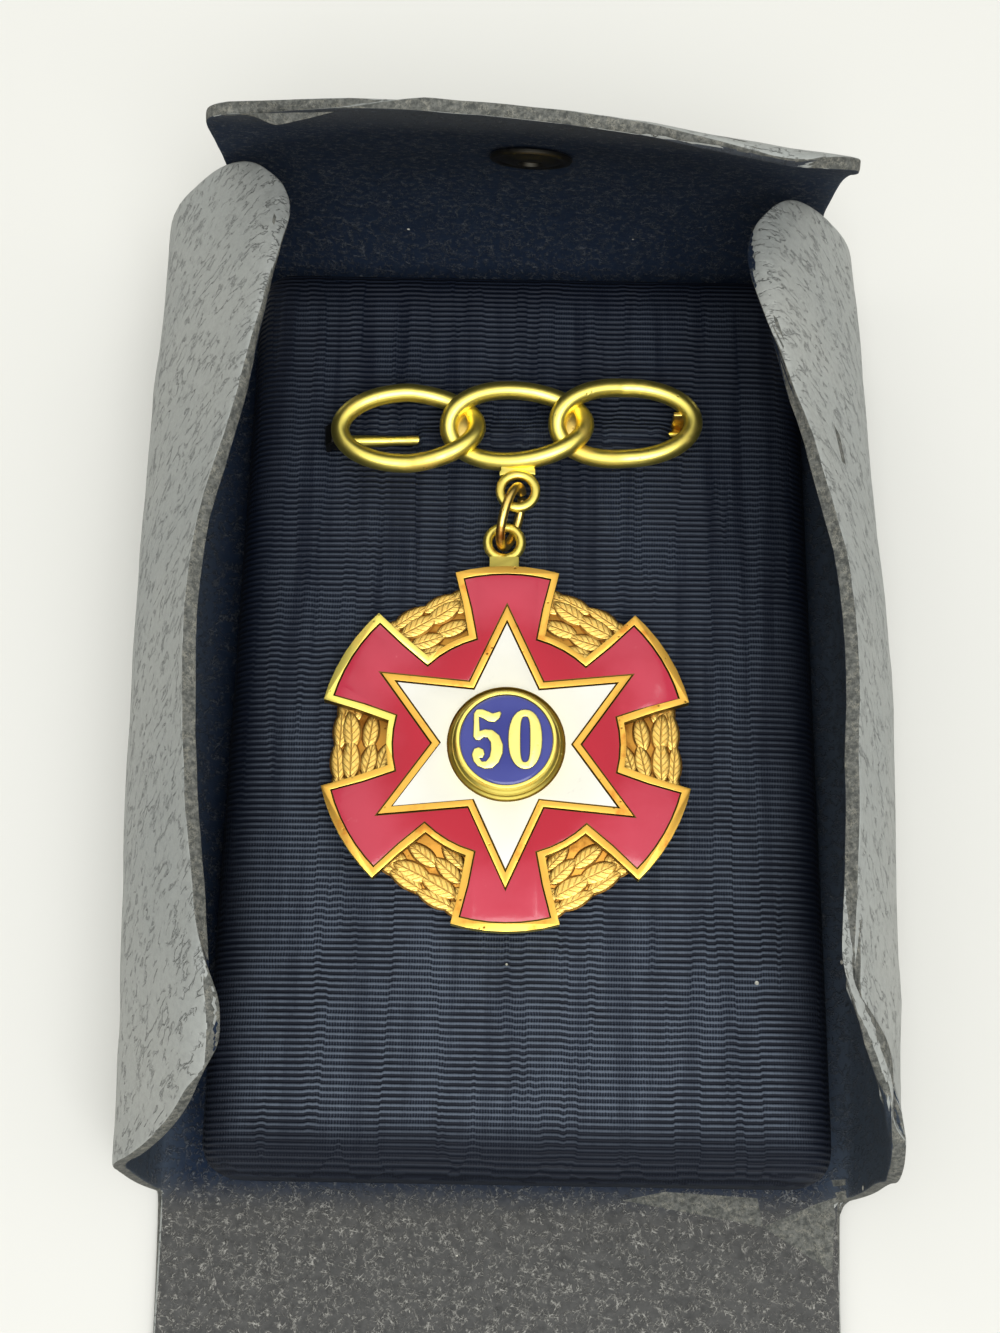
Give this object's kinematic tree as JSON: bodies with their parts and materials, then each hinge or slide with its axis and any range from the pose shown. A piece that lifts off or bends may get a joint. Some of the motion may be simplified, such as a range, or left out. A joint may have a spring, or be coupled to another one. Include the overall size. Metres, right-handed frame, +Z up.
{
  "type": "lapel pin in a folding presentation case",
  "caption": "Brooch bar of linked ovals with an enamelled star and cross drop medal over a leaf wreath, pinned to the padded board of a soft folding case that stands open",
  "frame": {"origin": "middle of the underside of the case's base", "axes": "+X to the right across the case, +Y along the case from the lying bottom flap towards the standing top flap, +Z up from the surface the case lies on"},
  "size_m": [0.0684, 0.1403, 0.0442],
  "materials": {
    "leatherette": "grained grey outside, dark felt-like lining inside",
    "aged_brass": "dull, browned",
    "moire_cloth": "ribbed moire, navy black",
    "gilt": "polished gilt, lightly worn",
    "matte_gilt": "matte gilt",
    "red_enamel": "opaque enamel, glossy",
    "white_enamel": "opaque enamel, glossy",
    "blue_enamel": "opaque enamel, glossy"
  },
  "bodies": {
    "root": {"case_sheet": "leatherette", "press_socket": "aged_brass", "press_stud": "aged_brass", "padded_board": "moire_cloth", "link_bar": "gilt", "pin_stem": "gilt", "jump_ring": "gilt", "medal_wreath": "matte_gilt", "medal_cross": "gilt", "red_enamel": "red_enamel", "white_enamel": "white_enamel", "centre_boss": "gilt", "blue_enamel": "blue_enamel", "numeral_five": "gilt", "numeral_zero": "gilt"}
  },
  "joints": []
}
